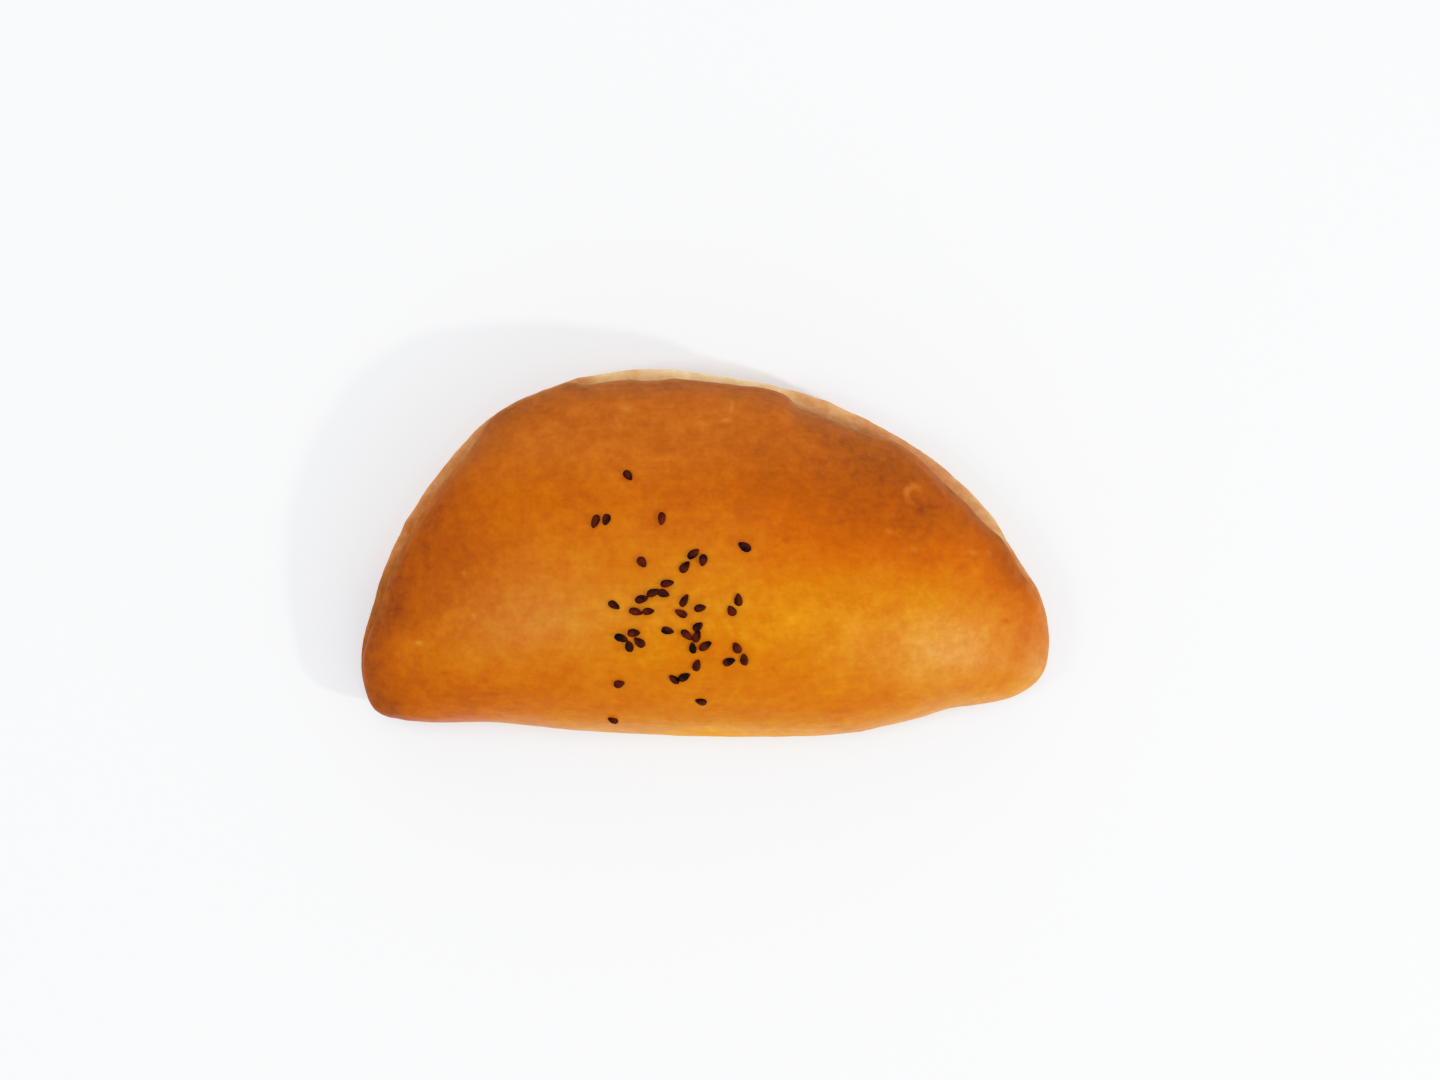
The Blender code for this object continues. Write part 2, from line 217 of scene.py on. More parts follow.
LIP_TONE_AND_SHADE = (  # along X; browner towards both tips, partly from baking and partly as painted shade of the lip's outer edge, which curves down out of the light
    (-70 * MM, 0.56),
    (-46 * MM, 0.54),
    (-29 * MM, 0.58),
    (-22 * MM, 0.22),
    (-16 * MM, 0.20),
    (-5 * MM, 0.06),
    (8 * MM, 0.10),
    (15 * MM, 0.20),
    (21 * MM, 0.34),
    (32 * MM, 0.42),
    (43 * MM, 0.60),
    (48 * MM, 0.52),
    (53 * MM, 0.38),
    (59 * MM, 0.36),
    (64 * MM, 0.54),
)
LIP_BLUR = 3.5 * MM  # how far each tone of the lip strays into the next
LIP_CREASE_DARKENING = 0.10  # how much browner the lip is at the crease
WALL_BAKE = 0.50
WALL_TOP = (0.45, 1.0)  # where the wall below the lip takes the lip's tone, as shares of SIDE_LEVEL
BASE_BAKE = 0.66
UNEVEN_BAKE = {  # size, how strong, and which noise
    "top": (12 * MM, 0.06, 2),
    "lip": (5 * MM, 0.10, 3),
    "wall": (8 * MM, 0.12, 4),
    "base": (9 * MM, 0.15, 5),
    "blur": (6 * MM, 1.0, 7),
}

# ---- Where it is egg-washed, from 0 to 1, with painted sheen and highlights where it is thin ----
WASH_LOW = (0.15, 0.95)  # from nothing to whole, as shares of SIDE_LEVEL
RIM_DRY = (-0.5 * MM, 1.8 * MM)  # from nothing to whole, in from the flap's edge
THIN_WASH_AND_SHEEN = 0.22  # how much thinner it is towards the seam, and where; the dry colour let through there is a painted sheen on the back slope
THIN_WASH_AND_SHEEN_Y = (10 * MM, 24 * MM)
DRY_SPOTS_AND_HIGHLIGHTS = (  # middle, reach, and how much thinner; the first two, on the swells, are painted highlights in the paler, greyer dry colour, and the last is the dull, unwashed right tip
    (-36 * MM, -13 * MM, 16 * MM, 9 * MM, 0.22),
    (48 * MM, -20 * MM, 18 * MM, 8 * MM, 0.20),
    (71 * MM, -22 * MM, 6 * MM, 8 * MM, 0.45),
)

# ---- The seeds ----
SEED_LENGTH = 2.5 * MM
SEED_WIDTH = 1.75 * MM
SEED_HEIGHT = 1.3 * MM
SEED_RANGE = (0.9, 1.12)  # the least and the most that each of these sizes is multiplied by
SEED_BLUNT = (0.35, 0.55)  # how much thinner one end is
SEED_ROUND = 0.9  # 1 makes an ellipse, less is fuller
SEED_CORNERS = 0.10  # how far its three corners stand out, and how far they turn from seed to seed
SEED_TURN = 0.4
SEED_WRINKLES = (0.45 * MM, 0.05, 0.8, 2)  # size, depth, fall and layers
SEED_SUNK = 0.3  # of its height
SEED_SIDES = 20
SEED_BELTS = 16
SEED_SPACING = 1.9 * MM  # the least from middle to middle
SEED_DRAW = 7
SEED_SHAPES_DRAW = 100
PINCHES = (  # middle, scatter and number of seeds
    (-15 * MM, 15 * MM, 0.8 * MM, 1),
    (-9 * MM, 6.5 * MM, 0.8 * MM, 1),
    (-21 * MM, 6 * MM, 2.4 * MM, 2),
    (8.5 * MM, 1 * MM, 0.8 * MM, 1),
    (-2.5 * MM, -2 * MM, 2.4 * MM, 3),
    (-12.5 * MM, -2 * MM, 0.8 * MM, 1),
    (-8.5 * MM, -7 * MM, 2.4 * MM, 3),
    (6 * MM, -10 * MM, 1.6 * MM, 2),
    (-12 * MM, -10.5 * MM, 2.4 * MM, 3),
    (-2.5 * MM, -11 * MM, 2.4 * MM, 3),
    (-18 * MM, -10.5 * MM, 0.8 * MM, 1),
    (-1.5 * MM, -16.5 * MM, 3 * MM, 5),
    (-15 * MM, -16.5 * MM, 2.4 * MM, 4),
    (-7 * MM, -15.5 * MM, 0.8 * MM, 1),
    (6 * MM, -19.5 * MM, 2.4 * MM, 3),
    (-4 * MM, -21.5 * MM, 4 * MM, 3),
    (-17.5 * MM, -25.5 * MM, 0.8 * MM, 1),
    (-1 * MM, -29.5 * MM, 0.8 * MM, 1),
    (-18.5 * MM, -33 * MM, 0.8 * MM, 1),
)

# ---- Colour and gloss ----
DRY_STOPS = (  # by how brown it is, where there is no egg wash
    (0.00, (0.76, 0.60, 0.40)),
    (0.15, (0.71, 0.49, 0.27)),
    (0.32, (0.62, 0.37, 0.165)),
    (0.50, (0.52, 0.245, 0.10)),
    (0.72, (0.41, 0.14, 0.045)),
    (1.00, (0.20, 0.065, 0.022)),
)
CRUST_STOPS = (  # where it is egg-washed
    (0.00, (0.76, 0.40, 0.04)),
    (0.15, (0.70, 0.28, 0.010)),
    (0.30, (0.57, 0.212, 0.008)),
    (0.42, (0.515, 0.158, 0.003)),
    (0.55, (0.485, 0.120, 0.0015)),
    (0.65, (0.43, 0.093, 0.0015)),
    (0.78, (0.35, 0.073, 0.003)),
    (0.90, (0.26, 0.052, 0.005)),
    (1.00, (0.16, 0.033, 0.006)),
)
MOTTLES = (  # size, detail and share in the tone
    (5 * MM, 3, 0.22),
    (2.2 * MM, 3, 0.28),
    (0.9 * MM, 2, 0.14),
)
BRUSHING = (0.9 * MM, 3, 0.6)  # the marks of the brush: size, detail and roughness of the noise
BRUSHING_STRETCH = (0.12, 1, 1)  # the noise is read this much more slowly along X
BRUSHING_SHARE = 0.12
ROUGHNESS = (  # by how thick the egg wash is
    (0.00, 0.82),
    (0.50, 0.80),
    (0.78, 0.51),
    (1.00, 0.41),
)
PALE_BAKE = (0.28, 0.08)  # between these the palest crust grows dull
PALE_ROUGHNESS = 0.35
UNEVEN_GLOSS = (2 * MM, 0.14)  # size, and share in the roughness
GRAIN = (0.6 * MM, 4, 0.6)
GRAIN_BRUSHING = 0.7  # how much the brush's marks add to the grain
GRAIN_DEPTH = 0.07 * MM
SPECULAR = 0.18  # of the crust and the seeds
CRUST_GLOW = 0.10  # how much light goes into the dough, and how far, in red, green and blue
CRUST_GLOW_REACH = (1.0, 0.35, 0.12)
CRUST_GLOW_DEPTH = 2.5 * MM
SEED_MOTTLE = (2.5 * MM, 2)
SEED_ROUGHNESS = 0.6
SEED_GRAIN = (0.25 * MM, 3, 0.6)
SEED_GRAIN_DEPTH = 0.08 * MM
SEED_STOPS = (
    (0.35, (0.0070, 0.0040, 0.0027)),
    (0.65, (0.0887, 0.0194, 0.0056)),
)

# ---- Stage ----
FLOOR_SIZE = 8.0
FLOOR_COLOUR = (0.872, 0.90, 0.935, 1)
FLOOR_ROUGHNESS = 0.9
FLOOR_SPECULAR = 0.1
SKY_GLOW = 0.84
SKY_SHAPE = (  # glow by height
    (0.00, 0.80),
    (0.14, 1.30),
    (0.30, 1.75),
    (0.55, 1.40),
    (0.75, 0.80),
    (0.92, 0.50),
    (1.00, 0.40),
)
SKY_LEAN = 0.15  # how much brighter it is on one side than the mean
SKY_HEADING = math.radians(20)
LAMPS = (  # name, heading from +X towards +Y, elevation, distance, size, and power in watts
    ("key", math.radians(-25), math.radians(36.2), 1.0, 0.06, 3.3),
    ("left_fill", math.radians(190), math.radians(58), 1.6, 0.4, 4.5),
    ("overhead", math.radians(90), math.radians(80), 1.6, 0.5, 4.2),
)
CAMERA_PLACE = (3 * MM, 2.6 * MM, 701.5 * MM)
LENS, SENSOR_WIDTH = 85, 36
TONE = (  # how light each level is shown; the last is shown as white
    (0.03, 0.01),
    (0.10, 0.085),
    (0.40, 0.40),
    (0.75, 0.75),
    (0.95, 0.893),
    (1.20, 0.965),
    (1.60, 1.0),
)


def smooth_step(low_end, high_end, value):
    share = np.clip((value - low_end) / (high_end - low_end), 0, 1)
    return share * share * (3 - 2 * share)


def near(distance, reach):
    """1 at no distance, falling away smoothly within about the reach."""
    return np.exp(-((distance / reach) ** 2))


def drift(x, y, size):
    """Smooth noise, from -1 to 1, that changes over a distance of about this size."""
    return np.array([noise(Vector((a, b, 0)) / size) for a, b in zip(x, y)])


def rough(points, size, octaves=3, seed=0):
    """Fractal noise at each point, about 0, from layers that begin at about this size."""
    shift = Vector([seed * step for step in NOISE_SHIFT])
    return np.array([fractal(Vector(p) / size + shift, NOISE_FALL, NOISE_STEP, octaves) for p in points])


def add_object(name, data):
    obj = bpy.data.objects.new(name, data)
    bpy.context.scene.collection.objects.link(obj)
    return obj


def closed_curve(corners, steps):
    """A smooth closed line through the corners: Catmull-Rom, centripetal, so that it doesn't overshoot."""
    corners = np.array(corners, float) * (LENGTH / 2, WIDTH / 2)
    line = []
    for i in range(len(corners)):
        p0, p1, p2, p3 = (corners[(i + k) % len(corners)] for k in (-1, 0, 1, 2))
        t1 = math.sqrt(math.dist(p0, p1))
        t2 = t1 + math.sqrt(math.dist(p1, p2))
        t3 = t2 + math.sqrt(math.dist(p2, p3))
        for t in np.linspace(t1, t2, steps, endpoint=False):
            a = p0 + (p1 - p0) * t / t1
            b = p1 + (p2 - p1) * (t - t1) / (t2 - t1)
            c = p2 + (p3 - p2) * (t - t2) / (t3 - t2)
            ab = a + (b - a) * t / t2
            bc = b + (c - b) * (t - t1) / (t3 - t1)
            line.append(ab + (bc - ab) * (t - t1) / (t2 - t1))
    line = np.array(line)
    least, most = line.min(axis=0), line.max(axis=0)
    return (line - (least + most) / 2) / (most - least) * (LENGTH, WIDTH)


def outline_points(angle):
    """The outline at each column, counter-clockwise from the right tip."""
    line = closed_curve(OUTLINE, CURVE_STEPS)
    line = np.roll(line, -int(line[:, 0].argmax()), axis=0)
    left = int(line[:, 0].argmin())
    seam_side, fold_side = line[left::-1], np.vstack([line[left:], line[:1]])
    x = LENGTH / 2 * np.cos(angle)
    y = np.where(
        np.sin(angle) >= 0,
        np.interp(x, seam_side[:, 0], seam_side[:, 1]),
        np.interp(x, fold_side[:, 0], fold_side[:, 1]),
    )
    return np.stack([x, y], axis=1)


def crest_line(along, tip_y):
    """The crest's points from end to end, their levels, and how steeply each climbs, along X and Y."""
    out = np.abs(along)
    aim = (tip_y - CREST_END_Y) / (LENGTH / 2 - CREST_REACH) * CREST_REACH
    bend = CREST_END_Y - CREST_Y
    y = CREST_Y + bend * (3 * out**2 - 2 * out**3) + aim * (out**3 - out**2)
    turn = bend * (6 * out - 6 * out**2) + aim * (3 * out**2 - 2 * out)
    level = HEIGHT * (1 - CREST_FALL * out**CREST_FALL_POWER)
    climb = -HEIGHT * CREST_FALL * CREST_FALL_POWER * out ** (CREST_FALL_POWER - 1)
    run = np.stack([CREST_REACH * np.sign(along), turn], axis=1)
    points = np.stack([CREST_REACH * along, y], axis=1)
    return points, level, run * (climb / np.maximum((run**2).sum(axis=1), MM**2))[:, None]


def lip_width(x):
    """How far the lower edge of the dough stands out beyond the flap."""
    width = np.full_like(x, LIP_WIDTH)
    for begins, whole, fades, ends, more in LIP_STRETCHES:
        width += more * smooth_step(begins, whole, x) * (1 - smooth_step(fades, ends, x))
    return width


class Columns:
    """The cross-sections, one at each point of the outline, each running from there to the crest."""

    def __init__(self, count):
        angle = 2 * math.pi * np.arange(count) / count
        self.edge = outline_points(angle)
        even = 1 - 2 * np.minimum(angle, 2 * math.pi - angle) / math.pi
        along = (1 - CREST_SPREAD) * np.cos(angle) + CREST_SPREAD * even  # from 1, right, to -1, left
        tip_y = np.where(along > 0, self.edge[0, 1], self.edge[count // 2, 1])
        crest, self.crest_level, crest_slope = crest_line(along, tip_y)
        tangent = np.roll(self.edge, -1, axis=0) - np.roll(self.edge, 1, axis=0)
        inward = np.stack([-tangent[:, 1], tangent[:, 0]], axis=1)
        inward /= np.linalg.norm(inward, axis=1)[:, None]
        self.across = crest - self.edge
        least_depth = LEAST_SQUARE * np.linalg.norm(self.across, axis=1)
        self.depth = np.maximum((self.across * inward).sum(axis=1), least_depth)
        self.rise = (crest_slope * self.across).sum(axis=1)

        self.seam = smooth_step(*SEAM_FADE, np.sin(angle))
        self.lip = lip_width(self.edge[:, 0])
        self.crease = CREASE_DEPTH * smooth_step(*CREASE_FADE, np.sin(angle))
        self.seam_level = SEAM_LEVEL + SEAM_WANDER * drift(*self.edge.T, SEAM_WANDER_SIZE)
        self.flap_level = self.seam_level + CREASE_GAP + NOSE_HEIGHT

    def row(self, inset, level):
        """A ring of points, one to a column, a distance in from the outline and at a level."""
        place = self.edge + self.across * (inset / self.depth)[:, None]
        return np.column_stack([place, np.broadcast_to(level, len(place))])

    def dome(self, turn, inset, level):
        """Inset and level on a dome that leaves these upright, at turn 0, and is level across the crest."""
        share = 1 - math.cos(turn) ** (2 / DOME_FULLNESS)
        climb = self.crest_level - level - self.rise
        place = inset * (1 - share) ** EDGE_FADE + self.depth * share
        return place, level + climb * math.sin(turn) + self.rise * share

    def mixed_row(self, plain, seamed):
        """Between the plain profile of the fold side and the seamed one, by how whole the seam is."""
        inset, level = (a + (b - a) * self.seam for a, b in zip(plain, seamed))
        return self.row(inset, level)


def base_rows(columns):
    for share in np.linspace(1, 0, BASE_ROWS, endpoint=False):
        yield columns.row(HEEL_INSET + (columns.depth - HEEL_INSET) * share, 0)


def heel_rows(columns):
    """From the flat base out to the widest level."""
    for turn in np.linspace(0, math.pi / 2, HEEL_ROWS):
        yield columns.row(HEEL_INSET * (1 - math.sin(turn)), SIDE_LEVEL * (1 - math.cos(turn)))


def seam_profile(columns):
    """Inset and level over the lip, into the crease and out round the flap's edge."""
    for turn in np.linspace(0, math.pi / 2, LIP_ROWS + 1)[1:]:
        level = SIDE_LEVEL + (columns.seam_level - SIDE_LEVEL) * math.sin(turn)
        yield (columns.lip + columns.crease) * (1 - math.cos(turn)), level
    for turn in np.linspace(0, math.pi / 2, NOSE_ROWS):
        level = columns.seam_level + CREASE_GAP + NOSE_HEIGHT * (1 - math.cos(turn))
        yield columns.lip + columns.crease * (1 - math.sin(turn)), level


def seam_rows(columns):
    """The seam, which fades at the tips into the plain rise of the fold side."""
    count = LIP_ROWS + NOSE_ROWS
    for i, seamed in enumerate(seam_profile(columns), start=1):
        yield columns.mixed_row(columns.dome(PLAIN_TURN * i / count, 0, SIDE_LEVEL), seamed)


def uneven_top(x, y):
    """What the hand shaping and the rise leave on the top."""
    height = UNEVEN_HEIGHT * drift(x, y, UNEVEN_SIZE)
    for middle_x, middle_y, reach_x, reach_y, swell in SWELLS:
        height += swell * near(x - middle_x, reach_x) * near(y - middle_y, reach_y)
    return height


def dome_rows(columns):
    """From the flap's edge over the top to the crest."""
    for share in np.linspace(0, 1, DOME_ROWS + 1)[1:]:
        plain = columns.dome(PLAIN_TURN + (math.pi / 2 - PLAIN_TURN) * share, 0, SIDE_LEVEL)
        top = columns.mixed_row(plain, columns.dome(math.pi / 2 * share, columns.lip, columns.flap_level))
        top[:, 2] += uneven_top(top[:, 0], top[:, 1]) * smooth_step(0, TOP_FADE, share)
        yield top


def grid_normals(grid):
    """The outward normal at each point of the rows."""
    along = np.roll(grid, -1, axis=1) - np.roll(grid, 1, axis=1)
    up = np.gradient(grid, axis=0)
    normal = np.cross(along, up)
    return normal / np.maximum(np.linalg.norm(normal, axis=2, keepdims=True), 1e-12)


# ---- Zones: how brown each place is, with painted shade, and whether it is egg-washed, with painted sheen ----


def row_zones():
    """For each row: how far it is on the dough below the flap, and how far on the base, from 0 to 1."""
    flap_row = BASE_ROWS + HEEL_ROWS + LIP_ROWS
    row = np.arange(flap_row + NOSE_ROWS + DOME_ROWS)
    under_flap = 1 - smooth_step(flap_row, flap_row + NOSE_ROWS / 2, row)
    base = 1 - smooth_step(BASE_ROWS - 2, BASE_ROWS + HEEL_ROWS / 3, row)
    return under_flap[:, None], base[:, None]


def inset_from(grid, columns):
    """How far in from the outline each point is."""
    return np.linalg.norm(grid[:, :, :2] - columns.edge, axis=2)


def unevenness(grid, zone):
    """How much the baking strays at each point."""
    size, strength, seed = UNEVEN_BAKE[zone]
    return strength * rough(grid.reshape(-1, 3), size, seed=seed).reshape(grid.shape[:2])


def top_baking(grid, columns):
    """The top: palest along the ridge, browner towards the seam, the front and the tips, and patchy."""
    x, y, _ = np.moveaxis(grid, 2, 0)
    ridge = RIDGE_Y + (RIDGE_END_Y - RIDGE_Y) * smooth_step(0, LENGTH * RIDGE_LENGTH, np.abs(x))
    behind = y > ridge
    off_ridge = 1 - near(y - ridge, np.where(behind, BACK_REACH, FRONT_REACH))
    brownness = RIDGE_BAKE + np.where(behind, BACK_BAKE, FRONT_BAKE) * off_ridge
    for middle_x, middle_y, reach_x, reach_y, more in PATCHES:
        brownness += more * near(x - middle_x, reach_x) * near(y - middle_y, reach_y)

    along = x / (LENGTH / 2)
    inset = inset_from(grid, columns)
    front_rim = near(inset, FRONT_RIM_REACH) * smooth_step(*FRONT_RIM_FROM, along)
    flap_rim = near(inset - columns.lip * columns.seam, FLAP_RIM_REACH) * smooth_step(*FLAP_RIM_FROM, along)
    brownness += FLAP_RIM * flap_rim * columns.seam - FRONT_RIM * front_rim * (1 - columns.seam)
    return brownness + unevenness(grid, "top")


def lower_bake_and_shade(grid, columns):
    """Below the flap: the lip, which has its own tone along X, with painted shade towards its tips, and the
    wall under it.
    """
    x, _, z = np.moveaxis(grid, 2, 0)
    # the lip's tone along X holds painted shade towards both tips
    lip = np.interp(x + LIP_BLUR * unevenness(grid, "blur"), *zip(*LIP_TONE_AND_SHADE)) + unevenness(grid, "lip")
    lip += LIP_CREASE_DARKENING * smooth_step(SIDE_LEVEL, columns.seam_level, z)
    wall = WALL_BAKE + unevenness(grid, "wall")
    return wall + (lip - wall) * smooth_step(*WALL_TOP, z / SIDE_LEVEL)


def end_bake_and_shade(grid, columns):
    """How much darker the left end is: painted shade of the end, which faces away from the key lamp, over
    its browner baking.
    """
    x, y, _ = np.moveaxis(grid, 2, 0)
    end = smooth_step(*END_FROM, x / (LENGTH / 2)) * smooth_step(*END_FRONT, y) * smooth_step(*END_BACK, y)
    inset = inset_from(grid, columns)
    return (END_RIM_SHADE * near(inset, END_RIM_SHADE_REACH) + END_BAKE_AND_SHADE * near(inset, END_REACH)) * end


# how brown each place is: its baking, with painted shade added at the left end and the lip's tips
def bake_and_shade(grid, columns):
    under_flap, base = row_zones()
    lower = under_flap * columns.seam
    brownness = top_baking(grid, columns) * (1 - lower) + lower_bake_and_shade(grid, columns) * lower
    # painted shade at the left end, over its browner baking
    brownness = np.minimum(brownness + end_bake_and_shade(grid, columns), DEEPEST_BAKE)
    return brownness * (1 - base) + (BASE_BAKE + unevenness(grid, "base")) * base


def washing_and_sheen(grid, columns):
    """1 where the egg wash was brushed on whole: less on the flap's very edge, none below it, and thinner
    towards the seam and in spots, which carry painted sheen and highlights.
    """
    under_flap, base = row_zones()
    x, y, z = np.moveaxis(grid, 2, 0)
    inset = inset_from(grid, columns) - columns.lip * columns.seam
    wash_and_sheen = 1 - columns.seam * (1 - smooth_step(*RIM_DRY, inset))
    # painted sheen: thinner wash towards the seam lets the greyer dry colour through
    wash_and_sheen -= THIN_WASH_AND_SHEEN * smooth_step(*THIN_WASH_AND_SHEEN_Y, y)
    # the first two spots are painted highlights on the swells; the last is a dull tip
    for middle_x, middle_y, reach_x, reach_y, thinner in DRY_SPOTS_AND_HIGHLIGHTS:
        wash_and_sheen -= thinner * near(x - middle_x, reach_x) * near(y - middle_y, reach_y)
    dry = np.maximum(under_flap * columns.seam, base)
    return np.maximum(wash_and_sheen, 0) * (1 - dry) * smooth_step(*WASH_LOW, z / SIDE_LEVEL)


def marks(x, y):
    """The height of the open blister's rim, the flakes and the pits."""
    out_x, out_y = x - BLISTER[0], y - BLISTER[1]
    rim = near(np.hypot(out_x, out_y) - BLISTER_RADIUS, BLISTER_RIM)
    raised = BLISTER_HEIGHT * rim * (0.5 + 0.5 * np.cos(np.arctan2(out_y, out_x) - BLISTER_SIDE))
    for middle_x, middle_y, reach_x, reach_y, height in MARKS:
        raised += height * near(x - middle_x, reach_x) * near(y - middle_y, reach_y)
    return raised


def relief(grid, columns, raised):
    """How far the skin and its marks stand out: most ragged on the lip, and not at all on the base."""
    points = grid.reshape(-1, 3)
    skin = SKIN_HEIGHT * rough(points, SKIN_SIZE, seed=1)
    skin += PORES_HEIGHT * rough(points, PORES_SIZE, seed=8)
    skin += STROKES_HEIGHT * rough(points / (STROKES_STRETCH, 1, 1), STROKES_SIZE, octaves=2, seed=9)
    ragged = RAGGED_HEIGHT * rough(points, RAGGED_SIZE, seed=6).reshape(raised.shape)
    under_flap, base = row_zones()
    return (skin.reshape(raised.shape) + raised + ragged * under_flap * columns.seam) * (1 - base)


def dough():
    """The pastry's body as one closed mesh, with how brown it is, its baking and painted shade, and its egg
    wash, with painted sheen, stored at each point.
    """
    columns = Columns(COLUMNS)
    grid = np.array([*base_rows(columns), *heel_rows(columns), *seam_rows(columns), *dome_rows(columns)])
    raised = marks(grid[:, :, 0], grid[:, :, 1])
    brownness = bake_and_shade(grid, columns) - MARK_TINT * raised
    wash_and_sheen = np.clip(washing_and_sheen(grid, columns) - MARK_DRY * raised, 0, 1)
    grid = grid + grid_normals(grid) * relief(grid, columns, raised)[:, :, None]
    grid[:, :, 2] = np.maximum(grid[:, :, 2], 0)  # the relief is kept from reaching below the base
    return closed_mesh("dough", grid, {"brownness": brownness, "wash_and_sheen": wash_and_sheen})


def closed_mesh(name, grid, fields):
    """The rows as one closed mesh: the first row closes on the line under the crest, the last on it."""
    rows, count = grid.shape[:2]
    partner = (count - np.arange(count)) % count  # the column across from each
    shared = np.minimum(np.arange(count), partner)
    index = np.arange(rows * count).reshape(rows, count)
    for ring in (0, rows - 1):
        grid[ring] = grid[ring][shared]
        index[ring] = index[ring][shared]
    faces = []
    for r in range(rows - 1):
        lower, upper = index[r], index[r + 1]
        for i in range(count):
            k = (i + 1) % count
            face = (lower[i], lower[k], upper[k], upper[i])
            faces.append(tuple(dict.fromkeys(int(v) for v in face)))
    used = np.unique(index)
    place = np.full(rows * count, -1)
    place[used] = np.arange(len(used))
    mesh = bpy.data.meshes.new(name)
    mesh.from_pydata(grid.reshape(-1, 3)[used].tolist(), [], [[int(place[v]) for v in f] for f in faces])
    for field, values in fields.items():
        layer = mesh.attributes.new(field, "FLOAT", "POINT")
        layer.data.foreach_set("value", values.reshape(-1)[used].astype(np.float32))
    mesh.shade_smooth()
    return add_object(name, mesh)


# ---- Seeds ----


def seed_places():
    """Where the seeds lie, as x, y and a heading: each pinch scatters its own, and none lies in another."""
    draw = random.Random(SEED_DRAW)
    places = []
    for x, y, scatter, count in PINCHES:
        landed = 0
        while landed < count:
            way, far = draw.uniform(0, 2 * math.pi), scatter * math.sqrt(draw.random())
            spot = (x + far * math.cos(way), y + far * math.sin(way))
            heading = draw.uniform(0, math.pi)
            if all(math.dist(spot, other[:2]) > SEED_SPACING for other in places):
                places.append((*spot, heading))
                landed += 1
    return places


def seed_shape(number):
    """A nigella seed's points: a blunt three-sided drop with a wrinkled skin, along X, about its middle."""
    draw = random.Random(SEED_SHAPES_DRAW + number)
    sizes = (SEED_LENGTH, SEED_WIDTH, SEED_HEIGHT)
    length, width, height = (draw.uniform(*SEED_RANGE) * size for size in sizes)
    turn, blunt = draw.uniform(-SEED_TURN, SEED_TURN), draw.uniform(*SEED_BLUNT)
    wrinkle_size, wrinkle_depth, fall, layers = SEED_WRINKLES
    points = []
    for belt in range(SEED_BELTS + 1):
        polar = math.pi * belt / SEED_BELTS
        along = math.cos(polar) / 2
        slim = (1 - blunt * (along + 0.5) ** 2) * math.sin(polar) ** SEED_ROUND / 2
        sides = SEED_SIDES if 0 < belt < SEED_BELTS else 1  # one point at each tip
        for side in range(sides):
            angle = 2 * math.pi * side / SEED_SIDES
            radius = slim * (1 + SEED_CORNERS * math.cos(3 * angle + turn))
            y, z = width * radius * math.cos(angle), height * radius * math.sin(angle)
            point = Vector((along * length, y, z))
            wrinkle = fractal(point / wrinkle_size + Vector((number, 0, 0)), fall, NOISE_STEP, layers)
            points.append(point * (1 + wrinkle_depth * wrinkle))
    return points


def seed_faces(first):
    """The faces of the seed whose points begin at this one: a fan at each tip, and rings between."""
    first_ring = first + 1
    last_ring = first_ring + (SEED_BELTS - 2) * SEED_SIDES
    last = last_ring + SEED_SIDES
    for side in range(SEED_SIDES):
        after = (side + 1) % SEED_SIDES
        yield (first, first_ring + side, first_ring + after)
        for ring in range(first_ring, last_ring, SEED_SIDES):
            upper = ring + SEED_SIDES
            yield (ring + after, ring + side, upper + side, upper + after)
        yield (last_ring + after, last_ring + side, last)


def seeds(crust):
    """All the seeds, stuck to the crust, as one joined mesh."""
    graph = bpy.context.evaluated_depsgraph_get()
    surface = BVHTree.FromObject(crust, graph)
    points, faces = [], []
    for number, (x, y, heading) in enumerate(seed_places()):
        touch, normal, _, _ = surface.ray_cast(Vector((x, y, HEIGHT * 2)), Vector((0, 0, -1)))
        lift = normal * SEED_HEIGHT * (0.5 - SEED_SUNK)
        upright = normal.to_track_quat("Z", "Y").to_matrix().to_4x4()
        seat = Matrix.Translation(touch + lift) @ upright @ Matrix.Rotation(heading, 4, "Z")
        faces += seed_faces(len(points))
        points += [seat @ point for point in seed_shape(number)]
    mesh = bpy.data.meshes.new("nigella_seeds")
    mesh.from_pydata(points, [], faces)
    mesh.shade_smooth()
    return add_object("nigella_seeds", mesh)


# ---- Materials ----


class Nodes:
    """A node tree: add() makes a node and links or sets its inputs, by name or, after _, by number."""

    def __init__(self, tree):
        self.tree = tree

    def add(self, kind, settings=None, **inputs):
        node = self.tree.nodes.new(kind)
        for key, value in (settings or {}).items():
            setattr(node, key, value)
        for key, value in inputs.items():
            self.feed(node, key, value)
        return node

    def feed(self, node, key, value):
        socket = node.inputs[int(key[1:])] if key[0] == "_" else node.inputs[key.replace("_", " ")]
        if isinstance(value, bpy.types.NodeSocket):
            self.tree.links.new(value, socket)
        else:
            socket.default_value = value

    def calculate(self, operation, *values):
        inputs = {f"_{number}": value for number, value in enumerate(values)}
        return self.add("ShaderNodeMath", {"operation": operation}, **inputs).outputs[0]

    def ramp(self, share, stops):
        node = self.add("ShaderNodeValToRGB", Fac=share)
        while len(node.color_ramp.elements) < len(stops):
            node.color_ramp.elements.new(1.0)
        for element, (position, colour) in zip(node.color_ramp.elements, stops):
            element.position = position
            element.color = (*colour, 1)
        return node.outputs["Color"]

    def grey_ramp(self, share, stops):
        return self.ramp(share, [(position, (value,) * 3) for position, value in stops])


